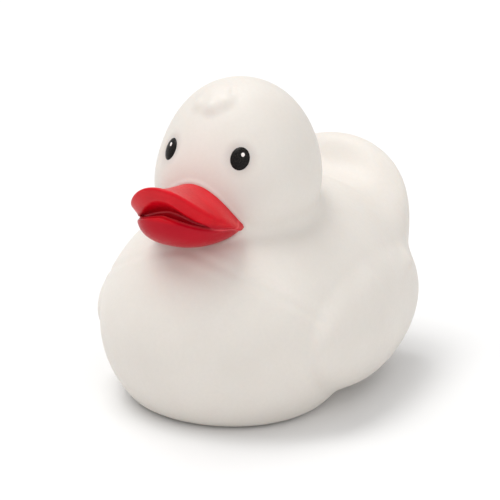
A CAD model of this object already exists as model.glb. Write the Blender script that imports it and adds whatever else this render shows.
import math

import bpy
import numpy as np
import openvdb as vdb
from mathutils import Matrix, Vector


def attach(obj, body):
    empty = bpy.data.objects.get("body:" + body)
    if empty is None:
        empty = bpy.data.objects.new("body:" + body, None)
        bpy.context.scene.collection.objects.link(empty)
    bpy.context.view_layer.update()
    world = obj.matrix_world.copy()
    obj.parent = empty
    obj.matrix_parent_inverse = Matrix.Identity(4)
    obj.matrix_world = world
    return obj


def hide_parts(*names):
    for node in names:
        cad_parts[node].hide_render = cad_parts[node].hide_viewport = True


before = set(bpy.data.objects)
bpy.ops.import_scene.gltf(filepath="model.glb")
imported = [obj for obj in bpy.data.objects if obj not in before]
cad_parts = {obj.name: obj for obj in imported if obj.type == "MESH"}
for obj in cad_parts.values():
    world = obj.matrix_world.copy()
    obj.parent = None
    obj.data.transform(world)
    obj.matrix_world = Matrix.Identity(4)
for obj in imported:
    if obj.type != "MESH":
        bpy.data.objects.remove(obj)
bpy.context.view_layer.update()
MM = 0.001
WELL_Y = -35.9  # y of the well's axis, mm

SKIN = 3.0  # thickness of the wall and of the floor
HEAD_BLEND = 9.5
TAIL_CENTRE_Y, TAIL_CENTRE_Z = 132.9, 105.8
TAIL_TILT = -0.4653

BILL_HALF_WIDTH = 36.5
BILL_CREST_Z = 165.0
# The line between the mandibles falls from LIP_Z by LIP_DROP * (x / half width) ** LIP_POWER
LIP_Z = 152.0
LIP_DROP = 12.7
LIP_POWER = 1.4

EYE_CENTRE = (28.0, -37.3, 182.9)  # left eye; the right one is mirrored
EYE_LONGITUDE, EYE_LATITUDE, EYE_LEAN = 30.5, 24.7, 13.0  # degrees
EYE_RADII = (6.5, 8.2, 2.4)  # wide, tall, out
EYE_SINK = 1.3  # centre of the lens below EYE_CENTRE
GLINT_RADII = (1.25, 1.45, 0.28)
GLINT_RISE, GLINT_SHIFT = 2.7, 1.6  # along the eye's height and along +X

# Locks on the crown: start, end, (start radius, end radius)
LOCKS = [
    ((-13.2, -8, 215.6), (-12, -19.9, 210.7), (5.0, 5.0)),
    ((-6.5, -7.4, 217.4), (-2, -22.6, 210.6), (5.5, 5.4)),
    ((1.4, -8, 217.8), (5.3, -18.5, 214.0), (5.0, 4.6)),
    ((-8.5, -9, 213.2), (-0.5, -15.8, 210.9), (8.4, 8.4)),
]
# Mould line on the left half: x, y, z
MOULD_LINE = [(93, -24, 66), (89, -31, 77), (74, -45, 90), (56, -57, 101),
              (39, -61, 110), (17, -63, 118), (0, -62, 122)]

# Outlines of turned solids: radius, height
CORE_OUTLINE = [(0, -2), (58.2, -2), (58.2, 17.4), (57.6, 18.0), (0, 18.0)]
MOUTH_OUTLINE = [
    (0, -4), (57.4, -4), (57.4, -0.02), (56.9, 0.12), (56.45, 0.5), (56.2, 1.1), (56.2, 6.0),
    (49.75, 6.0), (49.35, 6.15), (49.2, 6.55), (49.2, 24), (0, 24),
]
PILOT_OUTLINE = [(0, 5.5), (1.75, 5.5), (1.75, 6.02), (1.45, 6.3), (1.45, 15.0), (0, 15.0)]
VENT_OUTLINE = [(0, -20), (5.8, -20), (5.8, 20), (0, 20)]
PILOT_COUNT = 6
PILOT_CIRCLE = 52.3  # radius
VENT_Y, VENT_Z = 62.0, 175

SHELL_STEP = 1.3
HOLLOW_STEP = 3.0
BILL_STEP = 0.8
EYE_STEP = 0.5
GLINT_STEP = 0.16


# ---------------------------------------------------------------- distance fields
# A field takes a point (x, y, z) of arrays and gives a signed distance in mm, negative inside.
def turn(first, second, angle):
    cosine, sine = np.cos(angle), np.sin(angle)
    return first * cosine + second * sine, -first * sine + second * cosine


def ellipsoid(point, centre, radii, tilt=0.0, yaw=0.0):
    x, y, z = (point[i] - centre[i] for i in range(3))
    if yaw:
        x, y = turn(x, y, yaw)
    if tilt:
        y, z = turn(y, z, tilt)
    a, b, c = radii
    reach = np.sqrt((x / a) ** 2 + (y / b) ** 2 + (z / c) ** 2)
    steepness = np.sqrt((x / (a * a)) ** 2 + (y / (b * b)) ** 2 + (z / (c * c)) ** 2) + 1e-9
    return reach * (reach - 1) / steepness


def join(first, second, blend):
    """Union with a rounded seam."""
    near = np.maximum(blend - np.abs(first - second), 0) / blend
    return np.minimum(first, second) - near * near * blend * 0.25


def overlap(first, second, blend):
    """Intersection with a rounded edge."""
    return -join(-first, -second, blend)


def taper(point, start, end, radii=(0.0, 0.0)):
    """Round-ended taper from start to end."""
    x, y, z = point
    run = [end[i] - start[i] for i in range(3)]
    square = run[0] ** 2 + run[1] ** 2 + run[2] ** 2
    along = np.clip(((x - start[0]) * run[0] + (y - start[1]) * run[1]
                     + (z - start[2]) * run[2]) / square, 0, 1)
    reach = np.sqrt((x - start[0] - run[0] * along) ** 2 + (y - start[1] - run[1] * along) ** 2
                    + (z - start[2] - run[2] * along) ** 2)
    return reach - (radii[0] + (radii[1] - radii[0]) * along)


def ease(value, low, high):
    """Smooth step from 0 at low to 1 at high."""
    t = np.clip((value - low) / (high - low), 0, 1)
    return t * t * (3 - 2 * t)


def bell(distance, width, power=2):
    """1 at no distance, fading to 0; added to a field it sinks the surface."""
    return np.exp(-(distance / width) ** power)


def torso(point):
    x, y, z = point
    mirrored = (np.abs(x), y, z)
    rump = ellipsoid(point, centre=(0, 47.9, 68.3), radii=(93.0, 110.4, 81.5))
    breast = ellipsoid(point, centre=(0, -14.8, 53.8), radii=(90.6, 79.3, 78.4))
    trunk = join(rump, breast, 34.5)
    # Upright tail with a cupped face
    tail_point = (x, *turn(y - TAIL_CENTRE_Y, z - TAIL_CENTRE_Z, TAIL_TILT))
    tail = ellipsoid(tail_point, centre=(0, 0, 0), radii=(69.2, 20.0, 60.5))
    cup = ellipsoid(tail_point, centre=(0, -32.0, 20.0), radii=(50.0, 20.0, 38.0))
    trunk = join(trunk, overlap(tail, -cup, 14), 37.0)
    # Wings, each with two raised feather tips
    wing = ellipsoid(mirrored, centre=(77.8, 52.3, 54.6), radii=(24.3, 94.4, 44.3),
                     tilt=-0.018, yaw=0.1043)
    wing = join(wing, taper(mirrored, (80, -18, 70), (86.5, 31, 86.0), radii=(14, 8.0)), 5)
    wing = join(wing, taper(mirrored, (84, 34, 62), (82, 101, 80.5), radii=(17, 8.5)), 5)
    return join(trunk, wing, 7 + 5 * ease(y, 92, 124))


def body(point):
    """Torso and head."""
    skull = ellipsoid(point, centre=(0, 9.75, 175.1), radii=(52.5, 48.6, 52.3))
    cheeks = ellipsoid(point, centre=(0, 2.2, 150.2), radii=(53.4, 54.6, 40.7))
    return join(torso(point), join(skull, cheeks, 29.9), HEAD_BLEND)


def bill_solid(point):
    """Thick mandibles joined by a shallow mouth that opens wide only at the tip."""
    x, y, z = point
    half = np.abs(x)
    across = half / BILL_HALF_WIDTH
    # Crest: arched across, rising towards the tip
    fore = np.clip((-58.0 - y) / 36.0, 0, 1.2)
    front = ease(-y, 36, 70)
    arch = 34.0 * across ** 1.95 * (1 - front) + 17.5 * across ** 2 * front
    top = BILL_CREST_Z + 7.0 * fore ** 2 - arch
    # Plan outline; the sides of the upper mandible draw in below its crest
    power = 2.25
    plan = ((across ** power + (np.abs(y + 59.0) / 35.5) ** power) ** (1 / power) - 1) * 31.0
    side = plan + 0.42 * np.clip(top - 2.0 - z, 0, 14)
    deep = np.maximum(-side, 0)
    line = (LIP_Z - LIP_DROP * across ** LIP_POWER
            + 2.0 * ease(y, -76, -60) - 5.0 * ease(y, -60, -42))
    upper = overlap(overlap((z - top) * 0.85, side * 0.94, 2.4), (line - 1.5 - z) * 0.8, 2)
    # Lower mandible: the part of a rounded box below the line
    wide = 32.3 + 3.2 * ease(y, -76, -46)
    box = ((half / wide) ** 2.4 + (np.abs(y + 55.0) / 37.0) ** 2.4
           + (np.abs(z - 146.5) / 21.3) ** 2.4) ** (1 / 2.4)
    scoop = overlap((box - 1) * 23.0, (z - line) * 0.9, 2.5)
    # Mouth, dished behind a thin raised edge
    tip = 1 - ease(across, 0.12, 0.66)
    gap = (3.8 * (1 - ease(across, 0.60, 0.88)) + 6.8 * tip) * ease(-y, 54, 66) - 0.5
    depth = 3.2 + 4.6 * tip
    inward = np.clip(deep / depth, 0, 1.3)
    lip = 0.9 * bell(deep - 1.2, 0.9)
    low = line - 0.5 + lip - 0.26 * gap * np.sin(np.pi * np.clip(inward, 0, 1))
    high = line + gap * (1 - 0.84 * inward ** 0.9)
    mouth = overlap(overlap(low - z, z - high, 1.0) * 0.8, deep - depth, 2.0)
    return overlap(join(upper, scoop, 3.0), -mouth, 1.3)


def bill(point):
    """Both mandibles, trimmed to sit on the head."""
    return overlap(bill_solid(point), -(body(point) + 0.5), 0.4)


def duck(point):
    """Outside of the skin."""
    x, y, z = point
    mirrored = (np.abs(x), y, z)
    # Short locks lying forward on the crown, and the crease beside them
    locks = taper(point, *LOCKS[0])
    for lock in LOCKS[1:]:
        locks = join(locks, taper(point, *lock), 4.4)
    skin = join(body(point), locks, 5.2)
    skin = skin + 0.5 * bell(taper(point, (4.2, -8, 223), (6.8, -13.8, 220.5)), 1.5)
    # Ridge standing round the root of the bill
    skin = skin - 0.45 * bell(bill_solid(point) - 1.0, 1.3)
    # Shallow eye sockets
    from_eye = np.sqrt(sum((mirrored[i] - EYE_CENTRE[i]) ** 2 for i in range(3)))
    skin = skin + 0.9 * bell(from_eye, 9.0, power=4)
    # Soft mould line across the shoulders
    from_line = np.minimum.reduce(
        [taper(mirrored, *ends) for ends in zip(MOULD_LINE[:-1], MOULD_LINE[1:])])
    skin = skin + 0.22 * bell(from_line, 3.2) - 0.28 * bell(from_line - 5.2, 3.6)
    return overlap(skin, -z, 6)


def cavity(point):
    """Inside of the skin, above a flat floor."""
    return overlap(body(point) + SKIN, SKIN - point[2], 2.0)


def eye_axes(sign):
    """Centre of an eye and its wide, tall and outward directions; sign is +1 for the left."""
    longitude, latitude = math.radians(EYE_LONGITUDE) * sign, math.radians(EYE_LATITUDE)
    out = np.array([math.sin(longitude) * math.cos(latitude),
                    -math.cos(longitude) * math.cos(latitude), math.sin(latitude)])
    up = np.array([0.0, 0.0, 1.0])
    up = up - out * up.dot(out)
    up /= np.linalg.norm(up)
    sideways = np.cross(up, out) * sign  # away from the duck's middle
    lean = math.radians(EYE_LEAN)
    tall = up * math.cos(lean) + sideways * math.sin(lean)
    centre = np.array([EYE_CENTRE[0] * sign, EYE_CENTRE[1], EYE_CENTRE[2]])
    return centre, (np.cross(tall, out), tall, out)


EYES = {"left": eye_axes(1), "right": eye_axes(-1)}


def along_axes(point, origin, axes):
    x, y, z = (point[i] - origin[i] for i in range(3))
    return [x * axis[0] + y * axis[1] + z * axis[2] for axis in axes]


def eye(side):
    """A shallow domed oval that follows the curve of the head."""
    centre, axes = EYES[side]

    def field(point):
        wide, tall, out = along_axes(point, centre, axes)
        lens = ellipsoid((wide, tall, out + EYE_SINK), centre=(0, 0, 0), radii=EYE_RADII)
        return overlap(lens, -(out + 2.3), 0.5)

    return field


def glint(side):
    """A small flat spot on the surface of the domed eye."""
    centre, axes = EYES[side]
    offset = axes[1] * GLINT_RISE + np.array([1.0, 0.0, 0.0]) * GLINT_SHIFT
    wide, tall = offset.dot(axes[0]), offset.dot(axes[1])
    dome = max(0.0, 1 - (wide / EYE_RADII[0]) ** 2 - (tall / EYE_RADII[1]) ** 2)
    out = -EYE_SINK + EYE_RADII[2] * math.sqrt(dome)
    spot = centre + axes[0] * wide + axes[1] * tall + axes[2] * out

    def field(point):
        return ellipsoid(along_axes(point, spot, axes), centre=(0, 0, 0), radii=GLINT_RADII)

    return field


# ---------------------------------------------------------------- meshing
def slope(field, points, reach=0.06):
    result = np.empty_like(points)
    for k in range(3):
        shift = np.zeros(3)
        shift[k] = reach
        result[:, k] = (field((points + shift).T) - field((points - shift).T)) / (2 * reach)
    return result


def settle(field, points, step, turns=3):
    """Move points onto the zero level of the field, a limited distance each turn."""
    for _ in range(turns):
        value = field(points.T)
        gradient = slope(field, points)
        ratio = value / np.maximum((gradient * gradient).sum(1), 0.05)
        move = -gradient * ratio[:, None]
        far = np.linalg.norm(move, axis=1)
        move *= np.minimum(1.0, 0.6 * step / np.maximum(far, 1e-9))[:, None]
        points = points + move
    return points


def mesh_of(name, points, faces, smooth=True):
    """A mesh object from points in millimetres about the well's axis."""
    mesh = bpy.data.meshes.new(name)
    moved = np.asarray(points, float).copy()
    moved[:, 1] += WELL_Y
    mesh.from_pydata((moved * MM).tolist(), [], [list(map(int, face)) for face in faces])
    mesh.validate()
    mesh.update()
    if smooth:
        shade_smooth(mesh)
    made = bpy.data.objects.new(name, mesh)
    bpy.context.scene.collection.objects.link(made)
    return made


def shade_smooth(mesh):
    mesh.polygons.foreach_set("use_smooth", [True] * len(mesh.polygons))


def skin_of(name, field, low, high, step):
    """A quad mesh on the zero level of the field between two corners."""
    counts = [int(math.ceil((high[i] - low[i]) / step)) + 1 for i in range(3)]
    axes = [low[i] + step * np.arange(counts[i]) for i in range(3)]
    volume = np.empty(counts, np.float32)
    y, z = np.meshgrid(axes[1], axes[2], indexing="ij")
    slab = 16  # layers worked out at a time, to save memory
    for start in range(0, counts[0], slab):
        x = axes[0][start:start + slab][:, None, None]
        volume[start:start + slab] = field((x, y[None], z[None]))
    grid = vdb.FloatGrid(float(volume.max()))
    grid.copyFromArray(volume)
    points, quads = grid.convertToQuads(isovalue=0.0)
    points = points.astype(np.float64) * step + np.array(low)
    return mesh_of(name, settle(field, points, step), quads.astype(np.int64))


def lathe(name, outline, sides, centre=(0.0, 0.0)):
    """A closed solid turned about a vertical axis; the outline's ends lie on the axis."""
    rows = outline[1:-1]
    points = [(*centre, outline[0][1]), (*centre, outline[-1][1])]
    for radius, z in rows:
        for k in range(sides):
            angle = 2 * math.pi * k / sides
            points.append((centre[0] + radius * math.cos(angle),
                           centre[1] + radius * math.sin(angle), z))
    faces = []
    last = 2 + (len(rows) - 1) * sides
    for k in range(sides):
        after = (k + 1) % sides
        faces.append((0, 2 + after, 2 + k))
        faces.append((1, last + k, last + after))
        for j in range(len(rows) - 1):
            below, above = 2 + j * sides, 2 + (j + 1) * sides
            faces.append((below + k, below + after, above + after, above + k))
    return mesh_of(name, points, faces)


def cut(base, tool):
    """Take the tool's solid out of the base and remove the tool."""
    modifier = base.modifiers.new("trim", "BOOLEAN")
    modifier.object = tool
    modifier.operation = "DIFFERENCE"
    modifier.solver = "MANIFOLD"
    depsgraph = bpy.context.evaluated_depsgraph_get()
    made = bpy.data.meshes.new_from_object(base.evaluated_get(depsgraph))
    base.modifiers.clear()
    base.data = made
    bpy.data.objects.remove(tool, do_unlink=True)


def vent_tool():
    """A cylinder along Y through the back of the head."""
    vent = lathe("vent_tool", VENT_OUTLINE, sides=48)
    coords = np.empty(len(vent.data.vertices) * 3)
    vent.data.vertices.foreach_get("co", coords)
    x, y, z = coords.reshape(-1, 3).T
    y = y - WELL_Y * MM
    coords = np.c_[x, z + (VENT_Y + WELL_Y) * MM, -y + VENT_Z * MM]
    vent.data.vertices.foreach_set("co", coords.ravel())
    vent.data.update()
    return vent


def make_shell():
    """Outside minus inside, with the moulded mouth for the dispenser in the belly."""
    shell = skin_of("duck_skin", duck, (-108, -100, -3), (108, 206, 230), SHELL_STEP)
    hollow = skin_of("duck_hollow", cavity, (-104, -96, 0), (104, 202, 226), HOLLOW_STEP)
    cut(hollow, lathe("mouth_core", CORE_OUTLINE, sides=160))
    cut(shell, hollow)
    cut(shell, lathe("mouth_tool", MOUTH_OUTLINE, sides=200))
    pitch = 360 // PILOT_COUNT
    for k in range(PILOT_COUNT):
        angle = math.radians(pitch // 2 + pitch * k)
        centre = (PILOT_CIRCLE * math.cos(angle), PILOT_CIRCLE * math.sin(angle))
        cut(shell, lathe("pilot_tool", PILOT_OUTLINE, sides=24, centre=centre))
    cut(shell, vent_tool())
    shade_smooth(shell.data)
    return shell


parts = []  # (object, material slot)


def add_part(made, replaced, slot_name):
    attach(made, "duck")
    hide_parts(replaced)
    parts.append((made, slot_name))


add_part(make_shell(), "duck_shell", "vinyl_white")
add_part(skin_of("bill_skin", bill, (-42, -98, 124), (42, -26, 178), BILL_STEP),
         "bill", "vinyl_red")
for side, (centre, _) in EYES.items():
    lens = skin_of("eye_lens_" + side, eye(side), tuple(centre - 11), tuple(centre + 11), EYE_STEP)
    add_part(lens, "eye_" + side, "eye_black")
    spot = skin_of("glint_spot_" + side, glint(side), tuple(centre - 7), tuple(centre + 7),
                   GLINT_STEP)
    add_part(spot, "eye_glint_" + side, "glint_white")


# ---------------------------------------------------------------- materials
class Nodes:
    """A short way to write a node material."""

    def __init__(self, name):
        self.material = bpy.data.materials.new(name)
        self.material.use_nodes = True
        self.tree = self.material.node_tree
        self.tree.nodes.clear()
        output = self.add("OutputMaterial")
        self.shader = self.add("BsdfPrincipled")
        self.put(output.inputs[0], self.shader.outputs[0])
        self.place = self.add("TexCoord").outputs["Object"]

    def add(self, kind, inputs={}, **settings):
        node = self.tree.nodes.new("ShaderNode" + kind)
        for key, value in settings.items():
            setattr(node, key, value)
        for key, value in inputs.items():
            self.put(node.inputs[key], value)
        return node

    def put(self, socket, value):
        if isinstance(value, bpy.types.NodeSocket):
            self.tree.links.new(value, socket)
        elif socket.type == "RGBA":
            socket.default_value = (*value, 1)
        else:
            socket.default_value = value

    def set(self, **inputs):
        for key, value in inputs.items():
            self.put(self.shader.inputs[key.replace("_", " ")], value)

    def noise(self, scale, detail=4.0, rough=0.55, stretch=None):
        place = self.place
        if stretch:
            place = self.add("Mapping", {"Scale": stretch, "Vector": place}).outputs[0]
        return self.add("TexNoise", {"Scale": scale, "Detail": detail, "Roughness": rough,
                                     "Vector": place}).outputs["Fac"]

    def fit(self, value, span, to, smooth=False):
        """Map the span of a value onto another."""
        kind = "SMOOTHSTEP" if smooth else "LINEAR"
        inputs = dict(enumerate((value, *span, *to)))
        return self.add("MapRange", inputs, interpolation_type=kind).outputs[0]

    def mix(self, amount, base, colour):
        return self.add("Mix", {0: amount, 6: base, 7: colour}, data_type="RGBA").outputs[2]

    def tint(self, base, colour, mask, span, amount=1.0, smooth=False):
        """Lay a colour over the base, from none to the amount as the mask crosses the span."""
        return self.mix(self.fit(mask, span, (0.0, amount), smooth), base, colour)

    def math(self, operation, first, second=0.0):
        return self.add("Math", {0: first, 1: second}, operation=operation).outputs[0]

    def away(self, point, scale):
        """Distance in metres from a point in mm about the well's axis, each axis scaled."""
        x, y, z = point
        centre = (x * MM, (y + WELL_Y) * MM, z * MM)
        offset = self.add("VectorMath", {0: self.place, 1: centre}, operation="SUBTRACT")
        scaled = self.add("VectorMath", {0: offset.outputs[0], 1: scale}, operation="MULTIPLY")
        length = self.add("VectorMath", {0: scaled.outputs[0]}, operation="LENGTH")
        return length.outputs["Value"]

    def bump(self, height, strength, depth):
        node = self.add("Bump", {"Strength": strength, "Distance": depth, "Height": height})
        self.put(self.shader.inputs["Normal"], node.outputs[0])


MIDDLE = (0.3, 0.7)  # the span that noise mostly covers


def vinyl():
    n = Nodes("soft_white_vinyl")
    cloud = n.noise(scale=22, detail=3, rough=0.5)
    fine = n.noise(scale=420, detail=5, rough=0.6)
    base = n.tint((0.71, 0.665, 0.615), (0.745, 0.70, 0.65), mask=cloud, span=(0.35, 0.7))
    base = n.tint(base, (0.66, 0.625, 0.58), mask=fine, span=(0.3, 0.75), amount=0.28)
    # A breath of bill colour on the face and on the breast under it
    face = n.away((0, -58, 176), scale=(1.0, 0.8, 1.2))
    base = n.tint(base, (0.93, 0.52, 0.44), face, span=(0.050, 0.012), amount=0.06, smooth=True)
    breast = n.away((6, -70, 122), scale=(1.0, 0.8, 0.9))
    base = n.tint(base, (0.93, 0.48, 0.42), breast, span=(0.044, 0.010), amount=0.08, smooth=True)
    # Grey shade round each eye
    for centre, _ in EYES.values():
        near = n.away(centre, scale=(1.0, 1.0, 0.84))
        base = n.tint(base, (0.50, 0.44, 0.42), near, span=(0.0135, 0.0065), amount=0.4,
                      smooth=True)
    n.set(Base_Color=base, Roughness=n.fit(fine, MIDDLE, to=(0.42, 0.56)),
          Specular_IOR_Level=0.42, Subsurface_Weight=0.16,
          Subsurface_Radius=(1.0, 0.62, 0.42), Subsurface_Scale=0.006)
    height = n.math("ADD", n.math("MULTIPLY", cloud, 0.6), n.math("MULTIPLY", fine, 0.25))
    n.bump(height, strength=0.22, depth=0.0006)
    return n.material


def red_vinyl():
    n = Nodes("red_vinyl")
    cloud = n.noise(scale=60, rough=0.6)
    fine = n.noise(scale=700, rough=0.6)
    streak = n.noise(scale=90, rough=0.6, stretch=(1.0, 4.0, 2.0))
    base = n.tint((0.53, 0.0, 0.007), (0.64, 0.001, 0.010), mask=cloud, span=MIDDLE)
    base = n.tint(base, (0.74, 0.008, 0.018), mask=streak, span=(0.4, 0.75), amount=0.35)
    base = n.tint(base, (0.46, 0.0, 0.006), mask=fine, span=(0.45, 0.8), amount=0.25)
    # The lower mandible and the inside of the mouth are a deeper crimson
    lower = n.away((0, -75, 128), scale=(0.45, 0.6, 1.0))
    base = n.tint(base, (0.38, 0.0, 0.012), lower, span=(0.0245, 0.0212), amount=0.75, smooth=True)
    inside = n.away((0, -76, 152.5), scale=(0.66, 1.0, 2.3))
    base = n.tint(base, (0.40, 0.0, 0.006), inside, span=(0.0185, 0.014), amount=0.4, smooth=True)
    # Paler edge along the lower lip, just above the line between the mandibles
    from_middle = n.away((0, 0, 0), scale=(1.0, 0.0, 0.0))
    across = n.math("POWER", n.math("DIVIDE", from_middle, BILL_HALF_WIDTH * MM), LIP_POWER)
    edge = n.math("SUBTRACT", (LIP_Z + 0.05) * MM, n.math("MULTIPLY", across, LIP_DROP * MM))
    height = n.away((0, 0, 0), scale=(0.0, 0.0, 1.0))
    off = n.math("ABSOLUTE", n.math("SUBTRACT", height, edge))
    base = n.tint(base, (0.88, 0.13, 0.15), mask=off, span=(0.00080, 0.00030), amount=0.42)
    n.set(Base_Color=base, Roughness=n.fit(fine, MIDDLE, to=(0.28, 0.42)),
          Specular_IOR_Level=0.16, Coat_Weight=0.02, Coat_Roughness=0.3, Subsurface_Weight=0.03,
          Subsurface_Radius=(1.0, 0.2, 0.15), Subsurface_Scale=0.003)
    relief = n.math("ADD", n.math("MULTIPLY", streak, 0.6), n.math("MULTIPLY", fine, 0.3))
    n.bump(relief, strength=0.30, depth=0.0005)
    return n.material


def gloss_black():
    n = Nodes("eye_black_gloss")
    fine = n.noise(scale=900, rough=0.6)
    cells = n.add("TexVoronoi", {"Scale": 1500, "Vector": n.place}).outputs["Distance"]
    dots = n.fit(cells, span=(0.0, 0.35), to=(1.0, 0.0))
    base = n.tint((0.002, 0.002, 0.002), (0.012, 0.010, 0.010), mask=fine, span=(0.3, 0.8))
    base = n.mix(n.math("MULTIPLY", dots, 0.6), base, (0.10, 0.08, 0.06))
    n.set(Base_Color=base, Roughness=n.fit(fine, MIDDLE, to=(0.24, 0.40)),
          Specular_IOR_Level=0.12, Coat_Weight=0.02, Coat_Roughness=0.12)
    n.bump(fine, strength=0.12, depth=0.0002)
    return n.material


def spot_white():
    n = Nodes("eye_spot_paint")
    fine = n.noise(scale=1200, rough=0.6)
    base = n.tint((0.80, 0.72, 0.70), (0.95, 0.92, 0.90), mask=fine, span=MIDDLE)
    n.set(Base_Color=base, Roughness=n.fit(fine, MIDDLE, to=(0.3, 0.5)))
    n.bump(fine, strength=0.1, depth=0.0001)
    return n.material


def moulded(name, dark, light, rough=(0.34, 0.5), grain=320, strength=0.2):
    n = Nodes(name)
    cloud = n.noise(scale=35)
    fine = n.noise(scale=grain, detail=5, rough=0.6)
    base = n.tint(dark, light, mask=cloud, span=MIDDLE)
    darker = tuple(channel * 0.72 for channel in dark)
    base = n.tint(base, darker, mask=fine, span=(0.5, 0.85), amount=0.3)
    n.set(Base_Color=base, Roughness=n.fit(fine, MIDDLE, to=rough))
    n.bump(n.math("ADD", n.math("MULTIPLY", cloud, 0.5), fine), strength, depth=0.0003)
    return n.material


def brushed():
    n = Nodes("stainless")
    grain = n.noise(scale=160, detail=5, rough=0.6, stretch=(1.0, 9.0, 1.0))
    fine = n.noise(scale=800, rough=0.6)
    base = n.tint((0.47, 0.47, 0.48), (0.70, 0.70, 0.69), mask=grain, span=MIDDLE)
    n.set(Base_Color=base, Metallic=1.0, Roughness=n.fit(grain, MIDDLE, to=(0.22, 0.42)))
    n.bump(n.math("ADD", grain, n.math("MULTIPLY", fine, 0.4)), strength=0.18, depth=0.0002)
    return n.material


def clear_soft():
    n = Nodes("clear_silicone")
    cloud = n.noise(scale=50)
    fine = n.noise(scale=500, detail=5, rough=0.6)
    base = n.tint((0.78, 0.81, 0.80), (0.88, 0.90, 0.89), mask=cloud, span=MIDDLE)
    n.set(Base_Color=base, Roughness=n.fit(fine, MIDDLE, to=(0.22, 0.4)),
          Transmission_Weight=0.45, IOR=1.41, Subsurface_Weight=0.1, Subsurface_Scale=0.003)
    n.bump(fine, strength=0.15, depth=0.0002)
    return n.material


def floor_white():
    n = Nodes("floor_white")
    cloud = n.noise(scale=3.0, detail=3, rough=0.5)
    n.set(Base_Color=n.mix(cloud, (0.80, 0.80, 0.80), (0.82, 0.82, 0.82)), Roughness=0.9)
    return n.material


MATERIALS = {
    "vinyl_white": vinyl(),
    "vinyl_red": red_vinyl(),
    "eye_black": gloss_black(),
    "glint_white": spot_white(),
    "moulded_white": moulded("moulded_white_plastic", dark=(0.74, 0.755, 0.76),
                             light=(0.84, 0.85, 0.85)),
    "moulded_grey": moulded("moulded_grey_plastic", dark=(0.46, 0.51, 0.55),
                            light=(0.57, 0.62, 0.66)),
    "seal_rubber": moulded("seal_rubber_black", dark=(0.018, 0.018, 0.020),
                           light=(0.045, 0.045, 0.048), rough=(0.6, 0.8), grain=500, strength=0.4),
    "silicone": clear_soft(),
    "stainless": brushed(),
    "dial_blue": moulded("dial_blue_plastic", dark=(0.03, 0.20, 0.48), light=(0.06, 0.28, 0.58)),
}
# Pieces kept from the frame, by material
FRAME_PIECES = {
    "moulded_white": ("well_housing", "vent_nipple", "tablet_canister"),
    "moulded_grey": ("vent_clip_lower", "vent_clip_upper", "lock_collar"),
    "seal_rubber": ("well_gasket", "dial_gasket"),
    "silicone": ("vent_tube", "vent_grommet"),
    "stainless": ("well_screws", "ballast_sleeve", "snap_ring", "dial_washer", "dial_screw"),
    "dial_blue": ("flow_dial",),
}


def paint(target, slot_name):
    target.data.materials.clear()
    target.data.materials.append(MATERIALS[slot_name])


for part, slot_name in parts:
    paint(part, slot_name)
for slot_name, names in FRAME_PIECES.items():
    for name in names:
        paint(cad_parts[name], slot_name)


# ---------------------------------------------------------------- floor, light, camera
FLOOR_HALF = 4000
corners = [(x * FLOOR_HALF, y * FLOOR_HALF, 0) for x, y in ((-1, -1), (1, -1), (1, 1), (-1, 1))]
floor = mesh_of("floor", corners, [(0, 1, 2, 3)], smooth=False)
floor.location.z = -0.00005  # just clear of the underside
floor.data.materials.append(floor_white())

scene = bpy.context.scene
world = bpy.data.worlds.new("studio")
scene.world = world
world.use_nodes = True
background = world.node_tree.nodes["Background"]
background.inputs["Color"].default_value = (1.0, 1.0, 1.0, 1)
background.inputs["Strength"].default_value = 0.74
scene.view_settings.view_transform = "Standard"


def soft_light(name, towards, strength, spread, colour):
    """A broad distant light; towards points from the duck to the light, spread is in degrees."""
    light = bpy.data.lights.new(name, "SUN")
    light.angle = math.radians(spread)
    light.energy = strength
    light.color = colour
    lamp = bpy.data.objects.new(name, light)
    scene.collection.objects.link(lamp)
    lamp.rotation_mode = "QUATERNION"
    lamp.rotation_quaternion = (-Vector(towards)).to_track_quat("-Z", "Y")


soft_light("key", towards=(-0.30, 0.12, 0.95), strength=0.90, spread=30,
           colour=(1.0, 0.995, 0.985))
soft_light("key_front", towards=(-0.36, -0.20, 0.91), strength=0.85, spread=30,
           colour=(1.0, 0.995, 0.985))
soft_light("fill", towards=(0.75, -0.45, 0.50), strength=0.45, spread=70,
           colour=(1.0, 0.99, 0.985))

camera = bpy.data.cameras.new("camera")
camera.sensor_width = 36.0
camera.lens = 107.99
camera.clip_start = 0.01
camera.clip_end = 50
view = bpy.data.objects.new("camera", camera)
scene.collection.objects.link(view)
back = Vector((0.49780, -0.81700, 0.29104)).normalized()
right = Vector((0.85397, 0.52033, 0.0)).normalized()
up = back.cross(right).normalized()
turned = Matrix((right, up, back)).transposed().to_4x4()
stand = Vector((537.505, -860.723 + WELL_Y, 414.093)) * MM
view.matrix_world = Matrix.Translation(stand) @ turned
scene.camera = view

bpy.context.view_layer.update()
